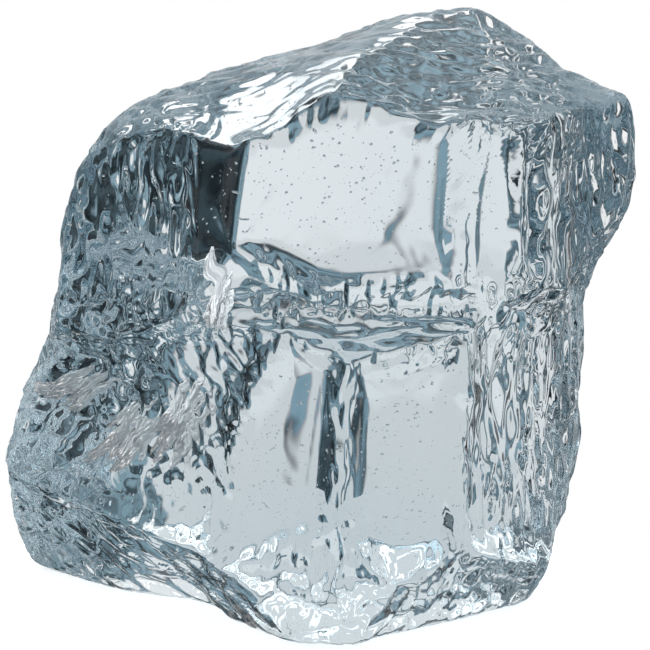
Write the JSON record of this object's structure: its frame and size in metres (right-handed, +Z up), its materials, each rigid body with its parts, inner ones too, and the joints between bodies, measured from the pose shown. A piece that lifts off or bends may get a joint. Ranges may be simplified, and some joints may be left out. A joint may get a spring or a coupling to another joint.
{
  "type": "ice block",
  "caption": "Hand-sized chunk of clear ice with hollowed, ribbed broken faces and a shallow waist, standing on a flat base.",
  "frame": {"origin": "on the flat base, under the middle of the bounding box", "axes": "+Z up, the front with the hollow faces looks along -Y, and X runs along the widest side"},
  "size_m": [0.1508, 0.1004, 0.1401],
  "materials": {
    "clear_ice": "clear ice, wet-smooth in the hollow faces and rippled along the ribs and on the back"
  },
  "bodies": {
    "root": {"ice_block": "clear_ice"}
  },
  "joints": []
}
